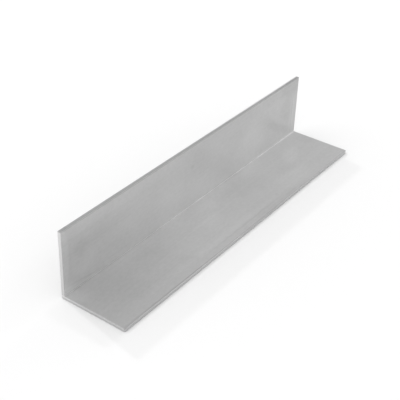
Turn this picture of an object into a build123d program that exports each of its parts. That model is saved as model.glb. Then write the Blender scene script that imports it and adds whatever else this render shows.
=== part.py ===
from build123d import *
import os

# Equal angle of extruded aluminium, sawn to length. It lies on its flat leg:
# X runs across that leg from the heel to the toe, Y along the length and Z up.
# The origin is under the middle of the piece, on the face that it lies on.

# Outside sizes
flat_leg = 40.0  # across the lying leg, from the back of the upright leg to the toe
upright_leg = 40.0  # up the standing leg, from the underside to the toe
length = 210.0  # from sawn end to sawn end
wall = 2.0  # thickness of both legs

# Corners that the die leaves along the whole length
heel_radius = 0.6  # outside corner, where the legs meet
root_radius = 0.25  # inside corner, where the legs meet
toe_radius = 0.2  # both edges of each toe

# Sawn ends
burr_bevel = 0.15  # bevel where the burr was taken off, all round each end
flat_corner_radius = 1.0  # corners of the flat leg, filed round, seen from above
upright_corner_radius = 0.5  # corners of the upright leg, seen from the side

back_x = -flat_leg / 2
toe_x = flat_leg / 2

# The section's corners in order round it, each with its radius.
section_corners = [
    ((back_x, 0), heel_radius),
    ((toe_x, 0), toe_radius),
    ((toe_x, wall), toe_radius),
    ((back_x + wall, wall), root_radius),
    ((back_x + wall, upright_leg), toe_radius),
    ((back_x, upright_leg), toe_radius),
]
points, radii = zip(*section_corners)

with BuildPart() as angle_bar:
    # The L that the die draws, pushed out to the sawn length.
    with BuildSketch(Plane.XZ.offset(length / 2)) as section:
        with BuildLine():
            FilletPolyline(*points, radius=radii, close=True)
        make_face()
    extrude(amount=-length)

    # Each end is square, with the burr taken off its whole outline.
    ends = angle_bar.faces().filter_by(Axis.Y)
    chamfer(ends.edges(), burr_bevel)

    # Seen from above, the two corners at the flat leg's toe are rounded.
    with BuildSketch(Plane.XY) as plan:
        Rectangle(flat_leg, length)
        fillet(plan.vertices().group_by(Axis.X)[-1], flat_corner_radius)
    extrude(amount=upright_leg, mode=Mode.INTERSECT)

    # Seen from the side, so are the two at the upright leg's toe.
    with BuildSketch(Plane.YZ.offset(back_x)) as elevation:
        Rectangle(length, upright_leg, align=(Align.CENTER, Align.MIN))
        fillet(elevation.vertices().group_by(Axis.Y)[-1], upright_corner_radius)
    extrude(amount=flat_leg, mode=Mode.INTERSECT)

angle_bar.part.label = "angle_bar"

os.makedirs("parts", exist_ok=True)
export_step(angle_bar.part, "parts/angle_bar.step")
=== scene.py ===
import math

import bpy
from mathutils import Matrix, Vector


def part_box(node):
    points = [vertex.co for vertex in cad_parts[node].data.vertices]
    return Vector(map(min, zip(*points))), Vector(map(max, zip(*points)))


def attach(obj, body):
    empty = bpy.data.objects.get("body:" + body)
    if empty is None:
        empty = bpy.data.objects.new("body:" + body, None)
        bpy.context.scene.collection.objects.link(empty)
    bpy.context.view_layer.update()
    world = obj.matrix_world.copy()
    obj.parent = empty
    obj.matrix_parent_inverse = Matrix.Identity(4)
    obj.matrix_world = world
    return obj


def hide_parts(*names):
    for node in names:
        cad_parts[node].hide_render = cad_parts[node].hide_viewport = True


# A length of aluminium angle, extruded, left as it came from the press and sawn square.
# Metres throughout. X runs across the lying leg, Y along the length, Z up.

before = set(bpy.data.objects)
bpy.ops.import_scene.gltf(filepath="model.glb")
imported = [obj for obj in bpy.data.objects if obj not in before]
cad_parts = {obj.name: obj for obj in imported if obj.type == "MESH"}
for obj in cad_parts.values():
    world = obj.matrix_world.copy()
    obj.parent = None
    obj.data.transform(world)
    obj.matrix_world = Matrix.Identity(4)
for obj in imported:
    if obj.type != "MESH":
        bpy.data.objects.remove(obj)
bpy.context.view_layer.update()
angleLow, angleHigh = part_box("angle_bar")
print("frame loaded, angle", [round(side * 1000, 2) for side in angleHigh - angleLow], "mm")

mm = 0.001


def linearColour(hexColour):
    channels = [int(hexColour[i:i + 2], 16) / 255 for i in (1, 3, 5)]
    return [c / 12.92 if c <= 0.04045 else ((c + 0.055) / 1.055) ** 2.4 for c in channels] + [1.0]


# Adds a node. Settings are its own properties. An input is a value, a socket to link from, or a
# node whose first output is linked.
def addNode(tree, kind, inputs=None, **settings):
    node = tree.nodes.new(kind)
    for name, value in settings.items():
        setattr(node, name, value)
    for key, value in (inputs or {}).items():
        if isinstance(value, bpy.types.Node):
            value = value.outputs[0]
        if isinstance(value, bpy.types.NodeSocket):
            tree.links.new(value, node.inputs[key])
        else:
            node.inputs[key].default_value = value
    return node


camera = {
    "place": (0.233406, -0.349084, 0.290457),
    "turn": (56.3007, -1.7064, 36.5305),  # degrees
    "lens": 83.33,  # mm
    "sensor": 36.0,  # mm across
    "nearest": 0.01,
    "farthest": 20.0,
}
studio = {
    "wallTone": "#E1E1E1",
    "floorTone": "#EEEEEE",
    "floorReach": 6.0,  # from the middle to each side
    "lampDistance": 8.0,
}
# Each lamp: the way to it, turned clockwise from +Y and up from the floor (degrees), the size of
# its soft box and how bright that looks (1 is white). One that isn't mirrored lights the floor
# but makes no glint in the metal, and one that isn't on the floor casts no shadow there.
lamps = {
    "backSoftbox": {"turn": 29, "rise": 30, "size": (8.3, 6.0), "face": 1.28, "onFloor": False},
    "backLeftSoftbox": {"turn": -39, "rise": 35, "size": (5.2, 4.3), "face": 0.2},
    "frontSoftbox": {"turn": 180, "rise": 45, "size": (15.4, 8.0), "face": 0.8},
    "leftLamp": {"turn": -80, "rise": 36, "size": (0.26, 0.26), "face": 350.0, "mirrored": False},
    "overLegSoftbox": {"turn": -91, "rise": 52, "size": (3.0, 3.0), "face": 2.7, "mirrored": False},
    "lowBackStrip": {"turn": 0, "rise": 8.3, "size": (3.0, 0.2), "face": 150.0, "mirrored": False},
}


def buildStudio():
    scene = bpy.context.scene
    scene.view_settings.view_transform = "Standard"

    eye = bpy.data.cameras.new("camera")
    eye.sensor_width = camera["sensor"]
    eye.lens = camera["lens"]
    eye.clip_start = camera["nearest"]
    eye.clip_end = camera["farthest"]
    eyeObject = bpy.data.objects.new("camera", eye)
    eyeObject.location = camera["place"]
    eyeObject.rotation_euler = [math.radians(turn) for turn in camera["turn"]]
    scene.collection.objects.link(eyeObject)
    scene.camera = eyeObject

    for name, lamp in lamps.items():
        light = bpy.data.lights.new(name, "AREA")
        light.shape = "RECTANGLE"
        light.size, light.size_y = lamp["size"]
        area = light.size * light.size_y
        light.energy = lamp["face"] * math.pi * area  # watts, for a face that looks so bright
        lightObject = bpy.data.objects.new(name, light)
        turn, rise = math.radians(lamp["turn"]), math.radians(lamp["rise"])
        way = Vector((math.sin(turn) * math.cos(rise), math.cos(turn) * math.cos(rise), math.sin(rise)))
        lightObject.location = way * studio["lampDistance"]
        lightObject.rotation_euler = way.to_track_quat("Z", "Y").to_euler()
        lightObject.visible_glossy = lamp.get("mirrored", True)
        lightObject.visible_diffuse = lamp.get("onFloor", True)
        scene.collection.objects.link(lightObject)

    world = bpy.data.worlds.new("studioWalls")
    world.use_nodes = True
    tree = world.node_tree
    tree.nodes.clear()
    wallColour = linearColour(studio["wallTone"])
    walls = addNode(tree, "ShaderNodeBackground", {"Color": wallColour, "Strength": 1.0})
    addNode(tree, "ShaderNodeOutputWorld", {"Surface": walls})
    scene.world = world


def buildFloor():
    material = bpy.data.materials.new("paleStudioFloor")
    material.use_nodes = True
    tree = material.node_tree
    tree.nodes.clear()
    paint = addNode(tree, "ShaderNodeBsdfDiffuse", {"Color": linearColour(studio["floorTone"])})
    addNode(tree, "ShaderNodeOutputMaterial", {"Surface": paint})

    mesh = bpy.data.meshes.new("floor")
    reach = studio["floorReach"]
    corners = [(-reach, -reach, 0), (reach, -reach, 0), (reach, reach, 0), (-reach, reach, 0)]
    mesh.from_pydata(corners, [], [(0, 1, 2, 3)])
    mesh.materials.append(material)
    floor = bpy.data.objects.new("floor", mesh)
    bpy.context.scene.collection.objects.link(floor)


buildStudio()
buildFloor()
print("studio ready")

angle = {
    "flatLeg": (angleHigh - angleLow).x,
    "uprightLeg": (angleHigh - angleLow).z,
    "wall": 2.0 * mm,
    "length": (angleHigh - angleLow).y,
    "heelRadius": 0.6 * mm,
    "rootRadius": 0.25 * mm,
    "toeRadius": 0.2 * mm,
    "burrEdge": 0.15 * mm,  # rounding where the saw's burr was taken off
    "flatCornerRadius": 1.0 * mm,
    "uprightCornerRadius": 0.5 * mm,
    "roundPoints": 5,  # in each rounded corner of the section
    "pointSpacing": 0.2 * mm,  # between the points round the section
    "ringsEachSide": 32,  # along the length
    "ringCrowding": 3.5,  # how much closer together they are towards the ends
    "lineDepth": 0.012 * mm,  # of the die's scratches, cut inwards
    "lineWidth": 0.5 * mm,
    "lineNoise": (0.5, 0.75),  # the parts of the noise that cut in, from no depth to the whole
    "seed": 7.0,
    "sawnFacing": 0.95,  # faces that look along the length at least so squarely are sawn ones
}

millFinish = {
    "tone": "#BABABA",
    "roughness": 0.33,
    "drag": 0.4,  # how far the die lines smear a reflection across themselves
    "lineWidth": 1.4,  # mm, of the broadest die lines; finer ones lie between them
    "lineChange": 0.003,  # how fast they change along the length, against 1 in a millimetre
    "lineTone": 0.03,  # tones here are shares of the metal's own lightness
    "lineRoughness": 0.06,
    "lineBump": 0.008 * mm,
    "cloudSize": 13.0,  # mm
    "cloudStretch": 0.6,  # 1 is round, and less is drawn out along the length
    "cloudStart": (11.7, 4.2, 0.0),  # where in their noise they start
    "cloudTone": 0.035,
    "cloudRoughness": 0.12,
    "grainSize": 1.3,  # mm, coarser than a real skin's so that it shows
    "grainStretch": 0.5,
    "grainTone": 0.035,
    "rubWidth": 0.4,  # mm, of a handling scratch
    "rubLength": 16.0,
    "rubNoise": (0.68, 0.8),  # the parts of the noise that show, from faint to full
    "rubTone": 0.035,
    "rubSets": ((0.9, 5.3), (-0.55, 38.9)),  # each set's turn (radians) and where its noise starts
    "markWander": 1.8,  # how far the outline of a soft mark strays, against its half size
    "wanderScale": 0.15,  # bends of that outline in a millimetre
    "flatToeLightTone": 0.12,  # the two toe faces, painted lighter on the lying leg and painted darker on the standing leg's top
    "uprightToeShadeTone": -0.19,
    "toeFade": 0.3,  # mm
    "arrisShadeTone": -0.2,  # painted shade: a dark line along each inner toe edge
    "arrisFade": (0.2, 0.8),  # mm from that edge, where it starts to fade and has gone
    "swing": 0.4,  # the darkest and lightest shares that the colour goes to
}
# Marks on the skin, in mm: the middle of each across the section (0 in the inside corner, minus
# up the standing leg) and along the length, its half sizes that way, wide and long, its turn in
# degrees and how much lighter it is. Soft is how slowly it fades, 0.5 where it isn't given.
# Most of those on the inner faces are painted light and shade: soft lighter and darker patches
# that stand in for reflections and shading on the legs, painted highlights along the top edges,
# the near ends and beside the inside corner, and painted shade along the inside corner, below
# the top edge and along the toe edge. The rest are the metal's own: die lines, a few spots and,
# on the outer faces, patches, lines and rubbed edges.
paintedLightAndMarks = [
    # standing leg: painted light and shade patches, painted highlights along the near end and the
    # top edges, painted shade below the top edge, and a few die lines and spots
    {"across": -20, "along": -92.5, "wide": 9, "long": 6.5, "tone": -0.07},
    {"across": -24, "along": -75, "wide": 4.5, "long": 22, "tone": -0.035},
    {"across": -22, "along": -108, "wide": 27, "long": 9.5, "soft": 0.08, "tone": 0.06},
    {"across": -18, "along": -106, "wide": 24, "long": 5.5, "tone": 0.05},
    {"across": -36, "along": -62, "wide": 5.5, "long": 60, "tone": 0.045},
    {"across": -35.5, "along": -92, "wide": 5.2, "long": 24, "soft": 0.2, "tone": 0.04},
    {"across": -37.7, "along": 0, "wide": 0.5, "long": 170, "soft": 0.3, "tone": -0.12},
    {"across": -3.2, "along": -92, "wide": 0.5, "long": 11, "turn": -8, "soft": 0.3, "tone": -0.08},
    {"across": -2.0, "along": -85, "wide": 0.5, "long": 9, "soft": 0.3, "tone": -0.03},
    {"across": -4.1, "along": -66, "wide": 0.6, "long": 14, "soft": 0.3, "tone": -0.04},
    {"across": -13, "along": -91, "wide": 8, "long": 9, "tone": 0.07},
    {"across": -14, "along": -22, "wide": 26, "long": 12, "tone": 0.03},
    {"across": -27, "along": 6, "wide": 6.5, "long": 14, "turn": -20, "tone": -0.035},
    {"across": -24.8, "along": -3.2, "wide": 1.5, "long": 2.0, "soft": 0.4, "tone": -0.07},
    {"across": -9, "along": 8, "wide": 8, "long": 22, "turn": -20, "tone": 0.065},
    {"across": -14, "along": 54, "wide": 15, "long": 15, "turn": -30, "tone": 0.055},
    {"across": -11, "along": 85, "wide": 3.4, "long": 21, "turn": -33, "tone": -0.055},
    {"across": -17, "along": 84, "wide": 2.6, "long": 22, "turn": -36, "tone": 0.035},
    {"across": -21, "along": 93, "wide": 12, "long": 8, "tone": -0.075},
    {"across": -35, "along": 99, "wide": 7, "long": 20, "tone": -0.11},
    {"across": -35, "along": 75, "wide": 5, "long": 10, "tone": -0.05},
    {"across": -15, "along": 101.2, "wide": 13, "long": 0.8, "soft": 0.3, "tone": 0.06},
    {"across": -14, "along": 98.4, "wide": 13, "long": 0.8, "soft": 0.3, "tone": 0.05},
    {"across": -14, "along": 99.8, "wide": 12, "long": 0.7, "soft": 0.3, "tone": -0.04},
    {"across": -39.9, "along": 66, "wide": 0.8, "long": 90, "turn": -0.2, "soft": 0.4, "tone": 0.5},
    {"across": -37.3, "along": 30, "wide": 0.6, "long": 80, "soft": 0.3, "tone": 0.04},
    # inside corner: painted shade that darkens the corner, and painted highlight lines beside it
    {"across": 0.1, "along": -100, "wide": 2.4, "long": 8, "tone": -0.05},
    {"across": 0.2, "along": -62, "wide": 0.6, "long": 52, "soft": 0.3, "tone": -0.22},
    {"across": 0.3, "along": -98, "wide": 0.6, "long": 14, "soft": 0.3, "tone": -0.1},
    {"across": -1.1, "along": -94, "wide": 0.5, "long": 14, "soft": 0.3, "tone": 0.08},
    {"across": 0.1, "along": -17, "wide": 0.7, "long": 9, "soft": 0.5, "tone": -0.06},
    {"across": 0.1, "along": -6, "wide": 0.7, "long": 10, "soft": 0.3, "tone": -0.12},
    {"across": 0.1, "along": 18, "wide": 0.7, "long": 18, "soft": 0.3, "tone": -0.1},
    {"across": 0.1, "along": 31, "wide": 1.3, "long": 20, "tone": -0.07},
    {"across": 0.1, "along": 36, "wide": 0.7, "long": 6, "soft": 0.3, "tone": -0.07},
    {"across": 0.1, "along": 55, "wide": 0.7, "long": 12, "soft": 0.3, "tone": -0.13},
    {"across": 0.1, "along": 78, "wide": 0.7, "long": 12, "soft": 0.3, "tone": -0.09},
    {"across": 0.9, "along": -7, "wide": 0.5, "long": 28, "soft": 0.3, "tone": 0.04},
    {"across": -0.8, "along": 82, "wide": 0.8, "long": 42, "soft": 0.3, "tone": 0.07},
    {"across": 0.9, "along": 98, "wide": 0.6, "long": 12, "soft": 0.3, "tone": 0.05},
    # lying leg: painted light and shade patches, painted shade and highlight lines along the toe
    # edge, a painted highlight along the near end, and die lines near the toe
    {"across": 12, "along": -84, "wide": 15, "long": 15, "tone": -0.065},
    {"across": 12, "along": -57, "wide": 9, "long": 18, "tone": -0.07},
    {"across": 30, "along": -78, "wide": 13, "long": 34, "tone": -0.05},
    {"across": 2, "along": -102, "wide": 9, "long": 6, "tone": 0.09},
    {"across": 34, "along": -78, "wide": 5, "long": 36, "tone": 0.03},
    {"across": 15.5, "along": -8, "wide": 1.4, "long": 24, "tone": 0.035},
    {"across": 17, "along": -7, "wide": 6, "long": 10, "tone": 0.035},
    {"across": 27, "along": -18, "wide": 11, "long": 28, "tone": 0.05},
    {"across": 8, "along": 1, "wide": 5, "long": 9, "tone": 0.05},
    {"across": 13, "along": 32, "wide": 9, "long": 18, "tone": -0.06},
    {"across": 14, "along": 78, "wide": 6, "long": 12, "turn": 20, "tone": 0.06},
    {"across": 28, "along": 55, "wide": 8, "long": 18, "tone": 0.07},
    {"across": 11, "along": 102, "wide": 8, "long": 6, "tone": -0.04},
    {"across": 31.2, "along": -8, "wide": 2.4, "long": 60, "tone": 0.03},
    {"across": 33.7, "along": 2, "wide": 0.8, "long": 40, "tone": -0.075},
    {"across": 36.4, "along": 30, "wide": 2.0, "long": 34, "tone": -0.05},
    {"across": 31.2, "along": 36, "wide": 1.2, "long": 1.6, "tone": -0.06},
    {"across": 37.15, "along": -72, "wide": 0.5, "long": 50, "turn": -0.4, "soft": 0.3, "tone": -0.12},
    {"across": 38.2, "along": -80, "wide": 0.6, "long": 50, "soft": 0.3, "tone": 0.07},
    {"across": 38.1, "along": 12, "wide": 0.5, "long": 28, "soft": 0.3, "tone": -0.09},
    {"across": 38.1, "along": 78, "wide": 0.5, "long": 40, "soft": 0.3, "tone": -0.07},
    {"across": 18, "along": -105.2, "wide": 26, "long": 0.9, "soft": 0.3, "tone": 0.12},
    # the faces that look outwards
    {"across": -22, "along": 30, "wide": 9, "long": 46, "turn": -4, "outer": 1, "tone": 0.05},
    {"across": -9, "along": -52, "wide": 7, "long": 30, "outer": 1, "tone": -0.05},
    {"across": -31, "along": -70, "wide": 5, "long": 26, "turn": 6, "outer": 1, "tone": 0.045},
    {"across": -16, "along": -8, "wide": 0.7, "long": 44, "soft": 0.3, "outer": 1, "tone": -0.05},
    {"across": -28, "along": 78, "wide": 12, "long": 12, "turn": 25, "outer": 1, "tone": -0.05},
    {"across": 14, "along": -30, "wide": 10, "long": 40, "outer": 1, "tone": 0.05},
    {"across": 27, "along": 44, "wide": 9, "long": 34, "turn": 5, "outer": 1, "tone": -0.05},
    {"across": 6, "along": 62, "wide": 1.0, "long": 36, "soft": 0.3, "outer": 1, "tone": 0.05},
    {"across": 33, "along": -58, "wide": 0.7, "long": 40, "soft": 0.3, "outer": 1, "tone": -0.06},
    # the heel, the back's toe edge and its two ends, rubbed brighter
    {"across": 0, "along": 20, "wide": 0.9, "long": 110, "soft": 0.4, "outer": 1, "tone": 0.12},
    {"across": -39.6, "along": -20, "wide": 0.7, "long": 100, "soft": 0.4, "outer": 1, "tone": 0.1},
    {"across": -22, "along": -104.8, "wide": 19, "long": 0.8, "soft": 0.4, "outer": 1, "tone": 0.12},
    {"across": -18, "along": 104.8, "wide": 20, "long": 0.8, "soft": 0.4, "outer": 1, "tone": 0.12},
]
sawnFinish = {
    "tone": "#D2D2D2",
    "roughness": 0.36,
    "markSpacing": 0.5,  # mm between the blade's marks, drawn coarser than a fine blade's
    "markBump": 0.02 * mm,
    "bladeMiddle": (70.0, 0.0, 120.0),  # mm
    "patchShare": 0.35,  # how much of the pattern is soft patches and not the blade's marks
    "patchScale": 0.15,  # patches in a millimetre
    "driftFrom": -58.0,  # mm, X less Z, near the top of the standing leg
    "driftTo": -2.0,  # the same, on the lying leg
    "paintedShadeTone": (0.3, -0.28),  # painted light there and painted shade there; tones here are shares of the way to the lightest
    "highlightBand": (0.9, 1.7),  # mm up the lying leg's end, where the painted highlight line starts and is full
    # the painted highlight's lightness, a share of the way to the lightest
    "highlightTone": 0.45,
    "darkest": 0.78,  # against the tone
    "lightest": 1.14,
}


# Mill-finish aluminium, as extruded: a satin grey that the die drew into fine lines along
# the length, slightly cloudy, with faint rub marks from handling, and with painted light and
# shade in its colour: soft patches, lines along the edges and the toe faces.
def makeMillFinishAluminium():
    material = bpy.data.materials.new("millFinishAluminium")
    material.use_nodes = True
    tree = material.node_tree
    tree.nodes.clear()

    # The skin laid out flat, in mm: across both legs from the inside corner, along the length,
    # and a step aside for the faces that look outwards.
    outerStep = 60.0
    skinDepth = 0.1  # how near to its plane a point of the underside or the back lies
    heelDepth = 0.5  # the same for the round between them, across the corner
    heelX = -angle["flatLeg"] / 2 / mm
    coordinate = addNode(tree, "ShaderNodeTexCoord")
    place = addNode(tree, "ShaderNodeVectorMath", {0: coordinate.outputs["Object"], "Scale": 1 / mm},
                    operation="SCALE")
    spot = addNode(tree, "ShaderNodeSeparateXYZ", {0: place}).outputs
    difference = addNode(tree, "ShaderNodeMath", {0: spot["X"], 1: spot["Z"]}, operation="SUBTRACT")
    across = addNode(tree, "ShaderNodeMath", {0: difference, 1: heelX}, operation="SUBTRACT")
    underside = addNode(tree, "ShaderNodeMath", {0: spot["Z"], 1: skinDepth}, operation="LESS_THAN")
    back = addNode(tree, "ShaderNodeMath", {0: spot["X"], 1: heelX + skinDepth}, operation="LESS_THAN")
    slant = addNode(tree, "ShaderNodeMath", {0: spot["X"], 1: spot["Z"]}, operation="ADD")
    heel = addNode(tree, "ShaderNodeMath", {0: slant, 1: heelX + heelDepth}, operation="LESS_THAN")
    outerFlat = addNode(tree, "ShaderNodeMath", {0: underside, 1: back}, operation="MAXIMUM")
    outer = addNode(tree, "ShaderNodeMath", {0: outerFlat, 1: heel}, operation="MAXIMUM")
    aside = addNode(tree, "ShaderNodeMath", {0: outer, 1: outerStep}, operation="MULTIPLY")
    skin = addNode(tree, "ShaderNodeCombineXYZ", {0: across, 1: spot["Y"], 2: aside})

    # Lighter and darker parts are added up as one share of the metal's own lightness. A noise
    # strays about an eighth from its middle, and noiseGain makes that a half.
    noiseGain = 4
    cloudSize, cloudStretch = millFinish["cloudSize"], millFinish["cloudStretch"]
    grainSize, grainStretch = millFinish["grainSize"], millFinish["grainStretch"]
    lineScale = addNode(tree, "ShaderNodeMapping", {
        "Vector": skin, "Scale": (1 / millFinish["lineWidth"], millFinish["lineChange"], 1)})
    lines = addNode(tree, "ShaderNodeTexNoise", {"Vector": lineScale, "Scale": 1.0, "Detail": 3.0,
                                                 "Roughness": 0.65})
    cloudScale = addNode(tree, "ShaderNodeMapping", {
        "Vector": skin, "Location": millFinish["cloudStart"],
        "Scale": (1 / cloudSize, cloudStretch / cloudSize, 1)})
    clouds = addNode(tree, "ShaderNodeTexNoise", {"Vector": cloudScale, "Scale": 1.0, "Detail": 4.0,
                                                  "Roughness": 0.6, "Distortion": 0.4})
    grainScale = addNode(tree, "ShaderNodeMapping", {
        "Vector": skin, "Scale": (1 / grainSize, grainStretch / grainSize, 1)})
    grain = addNode(tree, "ShaderNodeTexNoise", {"Vector": grainScale, "Scale": 1.0, "Detail": 2.0})
    layers = ((lines, millFinish["lineTone"]), (clouds, millFinish["cloudTone"]),
              (grain, millFinish["grainTone"]))
    tone = -0.5 * noiseGain * sum(amount for layer, amount in layers)
    for layer, amount in layers:
        tone = addNode(tree, "ShaderNodeMath", {0: layer, 1: noiseGain * amount, 2: tone},
                       operation="MULTIPLY_ADD")

    # Rub marks, in two directions.
    faint, full = millFinish["rubNoise"]
    for turn, start in millFinish["rubSets"]:
        turned = addNode(tree, "ShaderNodeVectorRotate", {"Vector": skin, "Angle": turn},
                         rotation_type="Z_AXIS")
        rubScale = addNode(tree, "ShaderNodeMapping", {
            "Vector": turned, "Location": (start, start, 0.0),
            "Scale": (1 / millFinish["rubWidth"], 1 / millFinish["rubLength"], 1)})
        rub = addNode(tree, "ShaderNodeTexNoise", {"Vector": rubScale, "Scale": 1.0, "Detail": 1.0})
        rubbed = addNode(tree, "ShaderNodeMapRange", {
            0: rub, 1: faint, 2: full, 3: 0.0, 4: millFinish["rubTone"]})
        tone = addNode(tree, "ShaderNodeMath", {0: tone, 1: rubbed}, operation="ADD")

    # The painted light and shade patches and lines, and the few real marks, whose outlines wander a
    # little. Each has half faded at halfFaded of its half size.
    halfFaded = 0.8
    wander = addNode(tree, "ShaderNodeTexNoise", {
        "Vector": skin, "Scale": millFinish["wanderScale"], "Detail": 3.0})
    astray = addNode(tree, "ShaderNodeVectorMath", {0: wander.outputs["Color"], 1: (0.5, 0.5, 0.5)},
                     operation="SUBTRACT")
    for mark in paintedLightAndMarks:
        step = outerStep * mark.get("outer", 0)
        local = addNode(tree, "ShaderNodeMapping", {
            "Vector": skin, "Location": (mark["across"], mark["along"], step),
            "Rotation": (0, 0, math.radians(mark.get("turn", 0))),
            "Scale": (mark["wide"], mark["long"], 1)}, vector_type="TEXTURE")
        soft = mark.get("soft", 0.5)
        strays = millFinish["markWander"] * soft
        moved = addNode(tree, "ShaderNodeVectorMath", {0: astray, 1: (strays, strays, 0.0), 2: local},
                        operation="MULTIPLY_ADD")
        distance = addNode(tree, "ShaderNodeVectorMath", {0: moved}, operation="LENGTH").outputs["Value"]
        here = addNode(tree, "ShaderNodeMapRange", {
            0: distance, 1: halfFaded + soft, 2: halfFaded - soft, 3: 0.0, 4: mark["tone"]},
            interpolation_type="SMOOTHSTEP")
        tone = addNode(tree, "ShaderNodeMath", {0: tone, 1: here}, operation="ADD")

    # Painted light and shade: the lying leg's toe face painted lighter, the standing leg's top face
    # painted darker, and a dark line of painted shade along each inner toe edge.
    legEnd = (angle["flatLeg"] - angle["wall"]) / mm
    toeFull = legEnd + millFinish["toeFade"]
    flatToe = addNode(tree, "ShaderNodeMapRange", {
        0: across, 1: legEnd, 2: toeFull, 3: 0.0, 4: millFinish["flatToeLightTone"]})
    uprightToe = addNode(tree, "ShaderNodeMapRange", {
        0: across, 1: -legEnd, 2: -toeFull, 3: 0.0, 4: millFinish["uprightToeShadeTone"]})
    fromRoot = addNode(tree, "ShaderNodeMath", {0: across}, operation="ABSOLUTE")
    pastArris = addNode(tree, "ShaderNodeMath", {0: fromRoot, 1: legEnd}, operation="SUBTRACT")
    fromArris = addNode(tree, "ShaderNodeMath", {0: pastArris}, operation="ABSOLUTE")
    fades, gone = millFinish["arrisFade"]
    arris = addNode(tree, "ShaderNodeMapRange", {
        0: fromArris, 1: fades, 2: gone, 3: millFinish["arrisShadeTone"], 4: 0.0})
    toes = addNode(tree, "ShaderNodeMath", {0: flatToe, 1: uprightToe}, operation="ADD")
    toeLightAndShade = addNode(tree, "ShaderNodeMath", {0: toes, 1: arris}, operation="ADD")
    onInner = addNode(tree, "ShaderNodeMath", {0: 1.0, 1: outer}, operation="SUBTRACT")
    tone = addNode(tree, "ShaderNodeMath", {0: toeLightAndShade, 1: onInner, 2: tone}, operation="MULTIPLY_ADD")

    base = linearColour(millFinish["tone"])[:3]
    swing = millFinish["swing"]
    darker = [c * (1 - swing) for c in base] + [1.0]
    lighter = [c * (1 + swing) for c in base] + [1.0]
    share = addNode(tree, "ShaderNodeMath", {0: tone, 1: 0.5 / swing, 2: 0.5}, operation="MULTIPLY_ADD")
    colour = addNode(tree, "ShaderNodeMix", {0: share, 6: darker, 7: lighter}, data_type="RGBA")
    lineRoughness, cloudRoughness = millFinish["lineRoughness"], millFinish["cloudRoughness"]
    smoothest = millFinish["roughness"] - 0.5 * (lineRoughness + cloudRoughness)
    clouded = addNode(tree, "ShaderNodeMath", {0: clouds, 1: cloudRoughness, 2: smoothest},
                      operation="MULTIPLY_ADD")
    roughness = addNode(tree, "ShaderNodeMath", {0: lines, 1: lineRoughness, 2: clouded},
                        operation="MULTIPLY_ADD")
    bump = addNode(tree, "ShaderNodeBump", {
        "Height": lines, "Distance": millFinish["lineBump"], "Strength": 1.0})
    drawn = addNode(tree, "ShaderNodeVectorTransform", {0: (0, 1, 0)}, vector_type="VECTOR",
                    convert_from="OBJECT", convert_to="WORLD")
    metal = addNode(tree, "ShaderNodeBsdfPrincipled", {
        "Base Color": colour.outputs[2],
        "Metallic": 1.0,
        "Roughness": roughness,
        "Normal": bump,
        "Anisotropic": millFinish["drag"],
        "Anisotropic Rotation": 0.25,
        "Tangent": drawn,
    })
    addNode(tree, "ShaderNodeOutputMaterial", {"Surface": metal})
    return material


# Sawn aluminium: freshly cut metal, brighter than the mill finish, with the blade's fine arcs,
# and with painted light and shade and a painted highlight in its colour.
def makeSawnAluminium():
    material = bpy.data.materials.new("sawnAluminium")
    material.use_nodes = True
    tree = material.node_tree
    tree.nodes.clear()
    coordinate = addNode(tree, "ShaderNodeTexCoord")
    place = addNode(tree, "ShaderNodeVectorMath", {
        0: coordinate.outputs["Object"], 1: (1 / mm, 0, 1 / mm)}, operation="MULTIPLY")
    arm = addNode(tree, "ShaderNodeVectorMath", {0: place, 1: sawnFinish["bladeMiddle"]},
                  operation="DISTANCE")
    arcs = addNode(tree, "ShaderNodeTexNoise", {
        "W": arm.outputs["Value"], "Scale": 1 / sawnFinish["markSpacing"], "Detail": 3.0,
        "Roughness": 0.6}, noise_dimensions="1D")
    patches = addNode(tree, "ShaderNodeTexNoise", {
        "Vector": place, "Scale": sawnFinish["patchScale"], "Detail": 2.0})
    cut = addNode(tree, "ShaderNodeMix", {0: sawnFinish["patchShare"], 2: arcs, 3: patches})
    # Painted light and shade: lighter up the standing leg's end, darker on the lying leg's.
    spot = addNode(tree, "ShaderNodeSeparateXYZ", {0: place}).outputs
    across = addNode(tree, "ShaderNodeMath", {0: spot["X"], 1: spot["Z"]}, operation="SUBTRACT")
    standingTone, lyingTone = sawnFinish["paintedShadeTone"]
    shadeDrift = addNode(tree, "ShaderNodeMapRange", {
        0: across, 1: sawnFinish["driftFrom"], 2: sawnFinish["driftTo"], 3: standingTone, 4: lyingTone})
    drifted = addNode(tree, "ShaderNodeMath", {0: cut, 1: shadeDrift}, operation="ADD")
    # A painted highlight: a lighter line along the upper part of the lying leg's end.
    pastWall = angle["wall"] / mm + 0.2
    lineStart, lineFull = sawnFinish["highlightBand"]
    lyingLeg = addNode(tree, "ShaderNodeMath", {0: spot["Z"], 1: pastWall}, operation="LESS_THAN")
    paintedHighlight = addNode(tree, "ShaderNodeMapRange", {
        0: spot["Z"], 1: lineStart, 2: lineFull, 3: 0.0, 4: sawnFinish["highlightTone"]},
        interpolation_type="SMOOTHSTEP")
    share = addNode(tree, "ShaderNodeMath", {0: paintedHighlight, 1: lyingLeg, 2: drifted},
                    operation="MULTIPLY_ADD")
    base = linearColour(sawnFinish["tone"])[:3]
    darker = [c * sawnFinish["darkest"] for c in base] + [1.0]
    lighter = [c * sawnFinish["lightest"] for c in base] + [1.0]
    colour = addNode(tree, "ShaderNodeMix", {0: share, 6: darker, 7: lighter}, data_type="RGBA")
    bump = addNode(tree, "ShaderNodeBump", {
        "Height": arcs, "Distance": sawnFinish["markBump"], "Strength": 1.0})
    metal = addNode(tree, "ShaderNodeBsdfPrincipled", {
        "Base Color": colour.outputs[2],
        "Metallic": 1.0,
        "Roughness": sawnFinish["roughness"],
        "Normal": bump,
    })
    addNode(tree, "ShaderNodeOutputMaterial", {"Surface": metal})
    return material


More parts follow.
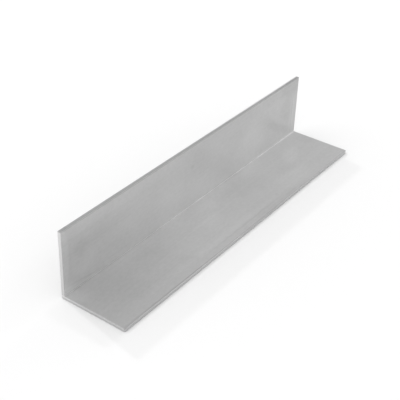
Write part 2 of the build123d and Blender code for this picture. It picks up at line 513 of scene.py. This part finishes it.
angleInputs = {
    "Flat Leg": "flatLeg", "Upright Leg": "uprightLeg", "Wall": "wall", "Length": "length",
    "Heel Radius": "heelRadius", "Root Radius": "rootRadius", "Toe Radius": "toeRadius",
    "Burr Edge": "burrEdge", "Flat Corner Radius": "flatCornerRadius",
    "Upright Corner Radius": "uprightCornerRadius", "Point Spacing": "pointSpacing",
    "Line Depth": "lineDepth", "Line Width": "lineWidth", "Seed": "seed",
}


# The die's L is drawn as a curve with its corners rounded, scratched by the die, pushed along
# the length, and then its ends are rounded off as the file left them.
def buildAngleTree():
    tree = bpy.data.node_groups.new("extrudedAngle", "GeometryNodeTree")
    for name, key in angleInputs.items():
        socket = tree.interface.new_socket(name=name, in_out="INPUT", socket_type="NodeSocketFloat")
        socket.default_value = angle[key]
    tree.interface.new_socket(name="Side Metal", in_out="INPUT", socket_type="NodeSocketMaterial")
    tree.interface.new_socket(name="End Metal", in_out="INPUT", socket_type="NodeSocketMaterial")
    tree.interface.new_socket(name="Mesh", in_out="OUTPUT", socket_type="NodeSocketGeometry")
    given = addNode(tree, "NodeGroupInput").outputs
    number = addNode(tree, "GeometryNodeInputIndex")
    here = addNode(tree, "GeometryNodeInputPosition")

    # The six corners in order round the section, and the radius of each. Curve to Mesh turns a
    # profile's Y downwards, so heights are negative here.
    halfWidth = addNode(tree, "ShaderNodeMath", {0: given["Flat Leg"], 1: 0.5}, operation="MULTIPLY")
    heelX = addNode(tree, "ShaderNodeMath", {0: halfWidth, 1: -1.0}, operation="MULTIPLY")
    rootX = addNode(tree, "ShaderNodeMath", {0: heelX, 1: given["Wall"]}, operation="ADD")
    wallY = addNode(tree, "ShaderNodeMath", {0: given["Wall"], 1: -1.0}, operation="MULTIPLY")
    topY = addNode(tree, "ShaderNodeMath", {0: given["Upright Leg"], 1: -1.0}, operation="MULTIPLY")
    corners = [
        (heelX, 0.0, "Heel Radius"),
        (halfWidth, 0.0, "Toe Radius"),
        (halfWidth, wallY, "Toe Radius"),
        (rootX, wallY, "Root Radius"),
        (rootX, topY, "Toe Radius"),
        (heelX, topY, "Toe Radius"),
    ]
    cornerPlace = addNode(tree, "GeometryNodeIndexSwitch", {"Index": number}, data_type="VECTOR")
    cornerRadius = addNode(tree, "GeometryNodeIndexSwitch", {"Index": number}, data_type="FLOAT")
    for i, (x, y, radius) in enumerate(corners):
        if i > 1:
            cornerPlace.index_switch_items.new()
            cornerRadius.index_switch_items.new()
        point = addNode(tree, "ShaderNodeCombineXYZ", {0: x, 1: y})
        tree.links.new(point.outputs[0], cornerPlace.inputs[i + 1])
        tree.links.new(given[radius], cornerRadius.inputs[i + 1])
    sixPoints = addNode(tree, "GeometryNodeMeshLine", {"Count": len(corners)})
    placed = addNode(tree, "GeometryNodeSetPosition", {"Geometry": sixPoints, "Position": cornerPlace})
    outline = addNode(tree, "GeometryNodeMeshToCurve", {"Mesh": placed})
    closed = addNode(tree, "GeometryNodeSetSplineCyclic", {"Geometry": outline, "Cyclic": True})
    rounded = addNode(tree, "GeometryNodeFilletCurve", {
        "Curve": closed, "Count": angle["roundPoints"], "Radius": cornerRadius}, mode="POLY")

    # Long runs are cut into short ones, so that the scratches have points to move.
    after = addNode(tree, "GeometryNodeOffsetPointInCurve", {"Point Index": number, "Offset": 1})
    there = addNode(tree, "GeometryNodeFieldAtIndex", {
        "Value": here, "Index": after.outputs["Point Index"]}, data_type="FLOAT_VECTOR", domain="POINT")
    run = addNode(tree, "ShaderNodeVectorMath", {0: here, 1: there}, operation="DISTANCE")
    runShare = addNode(tree, "ShaderNodeMath", {0: run.outputs["Value"], 1: given["Point Spacing"]},
                       operation="DIVIDE")
    cuts = addNode(tree, "ShaderNodeMath", {0: runShare}, operation="FLOOR")
    fine = addNode(tree, "GeometryNodeSubdivideCurve", {"Curve": rounded, "Cuts": cuts})

    # The section's own outward direction, kept for the scratches and for the rounded ends.
    heading = addNode(tree, "GeometryNodeInputTangent")
    outward = addNode(tree, "ShaderNodeVectorMath", {0: (0, 0, 1), 1: heading},
                      operation="CROSS_PRODUCT")
    kept = addNode(tree, "GeometryNodeCaptureAttribute", {"Geometry": fine})
    kept.capture_items.new("VECTOR", "Outward")
    tree.links.new(outward.outputs[0], kept.inputs["Outward"])

    # Die scratches: noise along the outline, of which only the tops cut in.
    walked = addNode(tree, "GeometryNodeSplineParameter")
    walkShare = addNode(tree, "ShaderNodeMath", {0: walked.outputs["Length"], 1: given["Line Width"]},
                        operation="DIVIDE")
    walkPlace = addNode(tree, "ShaderNodeMath", {0: walkShare, 1: given["Seed"]}, operation="ADD")
    wave = addNode(tree, "ShaderNodeTexNoise", {"W": walkPlace, "Scale": 1.0, "Detail": 1.0},
                   noise_dimensions="1D")
    lineStart, lineFull = angle["lineNoise"]
    scratch = addNode(tree, "ShaderNodeMapRange", {0: wave, 1: lineStart, 2: lineFull, 3: 0.0, 4: -1.0})
    scratchDepth = addNode(tree, "ShaderNodeMath", {0: scratch, 1: given["Line Depth"]},
                           operation="MULTIPLY")
    inward = addNode(tree, "ShaderNodeVectorMath", {0: kept.outputs["Outward"], "Scale": scratchDepth},
                     operation="SCALE")
    scratched = addNode(tree, "GeometryNodeSetPosition", {"Geometry": kept, "Offset": inward})

    # Rings along the length, crowded towards the rounded ends.
    ringsEachSide = angle["ringsEachSide"]
    fromMiddle = addNode(tree, "ShaderNodeMath", {0: number, 1: ringsEachSide}, operation="SUBTRACT")
    middleShare = addNode(tree, "ShaderNodeMath", {0: fromMiddle, 1: ringsEachSide}, operation="DIVIDE")
    side = addNode(tree, "ShaderNodeMath", {0: middleShare}, operation="SIGN")
    sideShare = addNode(tree, "ShaderNodeMath", {0: middleShare}, operation="ABSOLUTE")
    endShare = addNode(tree, "ShaderNodeMath", {0: 1.0, 1: sideShare}, operation="SUBTRACT")
    crowded = addNode(tree, "ShaderNodeMath", {0: endShare, 1: angle["ringCrowding"]}, operation="POWER")
    outShare = addNode(tree, "ShaderNodeMath", {0: 1.0, 1: crowded}, operation="SUBTRACT")
    halfLength = addNode(tree, "ShaderNodeMath", {0: given["Length"], 1: 0.5}, operation="MULTIPLY")
    ringOut = addNode(tree, "ShaderNodeMath", {0: outShare, 1: halfLength}, operation="MULTIPLY")
    ringY = addNode(tree, "ShaderNodeMath", {0: ringOut, 1: side}, operation="MULTIPLY")
    ringPlace = addNode(tree, "ShaderNodeCombineXYZ", {1: ringY})
    rings = addNode(tree, "GeometryNodeMeshLine", {"Count": 2 * ringsEachSide + 1})
    ringsPlaced = addNode(tree, "GeometryNodeSetPosition", {"Geometry": rings, "Position": ringPlace})
    path = addNode(tree, "GeometryNodeMeshToCurve", {"Mesh": ringsPlaced})
    bar = addNode(tree, "GeometryNodeCurveToMesh", {
        "Curve": path, "Profile Curve": scratched, "Fill Caps": True})

    # Where the burr was taken off: a quarter round all round each end.
    spot = addNode(tree, "ShaderNodeSeparateXYZ", {0: here}).outputs
    out = addNode(tree, "ShaderNodeMath", {0: spot["Y"]}, operation="ABSOLUTE")
    depth = addNode(tree, "ShaderNodeMath", {0: halfLength, 1: out}, operation="SUBTRACT")
    burrShare = addNode(tree, "ShaderNodeMapRange", {
        0: depth, 1: 0.0, 2: given["Burr Edge"], 3: -1.0, 4: 0.0})
    burrHeight = addNode(tree, "ShaderNodeMath", {0: burrShare}, operation="ARCSINE")
    burrArc = addNode(tree, "ShaderNodeMath", {0: burrHeight}, operation="COSINE")
    burrDrop = addNode(tree, "ShaderNodeMath", {0: burrArc, 1: 1.0}, operation="SUBTRACT")
    burrIn = addNode(tree, "ShaderNodeMath", {0: burrDrop, 1: given["Burr Edge"]}, operation="MULTIPLY")
    sectionOut = addNode(tree, "ShaderNodeSeparateXYZ", {0: kept.outputs["Outward"]}).outputs
    upOut = addNode(tree, "ShaderNodeMath", {0: sectionOut["Y"], 1: -1.0}, operation="MULTIPLY")
    burrWay = addNode(tree, "ShaderNodeCombineXYZ", {0: sectionOut["X"], 2: upOut})
    burrMove = addNode(tree, "ShaderNodeVectorMath", {0: burrWay, "Scale": burrIn}, operation="SCALE")
    eased = addNode(tree, "GeometryNodeSetPosition", {"Geometry": bar, "Offset": burrMove})

    # The toe corners are filed round: near an end the leg's last part is drawn in along an arc.
    filed = []
    for value, edge, radius in ((spot["X"], halfWidth, "Flat Corner Radius"),
                                (spot["Z"], given["Upright Leg"], "Upright Corner Radius")):
        depthShare = addNode(tree, "ShaderNodeMapRange", {
            0: depth, 1: 0.0, 2: given[radius], 3: -1.0, 4: 0.0})
        height = addNode(tree, "ShaderNodeMath", {0: depthShare}, operation="ARCSINE")
        arc = addNode(tree, "ShaderNodeMath", {0: height}, operation="COSINE")
        drop = addNode(tree, "ShaderNodeMath", {0: arc, 1: 1.0}, operation="SUBTRACT")
        start = addNode(tree, "ShaderNodeMath", {0: edge, 1: given[radius]}, operation="SUBTRACT")
        over = addNode(tree, "ShaderNodeMath", {0: value, 1: start}, operation="SUBTRACT")
        past = addNode(tree, "ShaderNodeMath", {0: over, 1: 0.0}, operation="MAXIMUM")
        drawnIn = addNode(tree, "ShaderNodeMath", {0: past, 1: drop, 2: value}, operation="MULTIPLY_ADD")
        filed.append(drawnIn)
    filedPlace = addNode(tree, "ShaderNodeCombineXYZ", {0: filed[0], 1: spot["Y"], 2: filed[1]})
    shaped = addNode(tree, "GeometryNodeSetPosition", {"Geometry": eased, "Position": filedPlace})
    merged = addNode(tree, "GeometryNodeMergeByDistance", {"Geometry": shaped, "Distance": 0.0001 * mm})
    outside = addNode(tree, "GeometryNodeFlipFaces", {"Mesh": merged})  # the section runs the other way

    # The sawn faces are flat and have their own metal.
    normal = addNode(tree, "GeometryNodeInputNormal")
    facing = addNode(tree, "ShaderNodeSeparateXYZ", {0: normal}).outputs
    facingEnd = addNode(tree, "ShaderNodeMath", {0: facing["Y"]}, operation="ABSOLUTE")
    isEnd = addNode(tree, "FunctionNodeCompare", {0: facingEnd, 1: angle["sawnFacing"]},
                    data_type="FLOAT", operation="GREATER_THAN")
    smooth = addNode(tree, "GeometryNodeSetShadeSmooth", {"Geometry": outside, "Shade Smooth": True})
    flatEnds = addNode(tree, "GeometryNodeSetShadeSmooth", {"Geometry": smooth, "Selection": isEnd,
                                                            "Shade Smooth": False})
    real = addNode(tree, "GeometryNodeRealizeInstances", {"Geometry": flatEnds})
    sides = addNode(tree, "GeometryNodeSetMaterial", {"Geometry": real, "Material": given["Side Metal"]})
    ends = addNode(tree, "GeometryNodeSetMaterial", {"Geometry": sides, "Selection": isEnd,
                                                     "Material": given["End Metal"]})
    addNode(tree, "NodeGroupOutput", {0: ends})
    return tree


def buildAngle():
    sideMetal = makeMillFinishAluminium()
    endMetal = makeSawnAluminium()
    print("metals ready")
    tree = buildAngleTree()
    holder = bpy.data.objects.new("angleHolder", bpy.data.meshes.new("angleHolder"))
    bpy.context.scene.collection.objects.link(holder)
    modifier = holder.modifiers.new("extrudedAngle", "NODES")
    modifier.node_group = tree
    for socket in tree.interface.items_tree:
        if socket.in_out != "INPUT":
            continue
        if socket.name == "Side Metal":
            modifier[socket.identifier] = sideMetal
        elif socket.name == "End Metal":
            modifier[socket.identifier] = endMetal
        else:
            modifier[socket.identifier] = float(angle[angleInputs[socket.name]])
    graph = bpy.context.evaluated_depsgraph_get()
    mesh = bpy.data.meshes.new_from_object(holder.evaluated_get(graph), depsgraph=graph)
    bpy.data.objects.remove(holder)
    mesh.name = "extruded_angle"
    piece = bpy.data.objects.new("extruded_angle", mesh)
    bpy.context.scene.collection.objects.link(piece)
    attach(piece, "root")
    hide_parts("angle_bar")
    print("angle ready:", len(mesh.vertices), "points,", len(mesh.polygons), "faces")
    return piece


buildAngle()
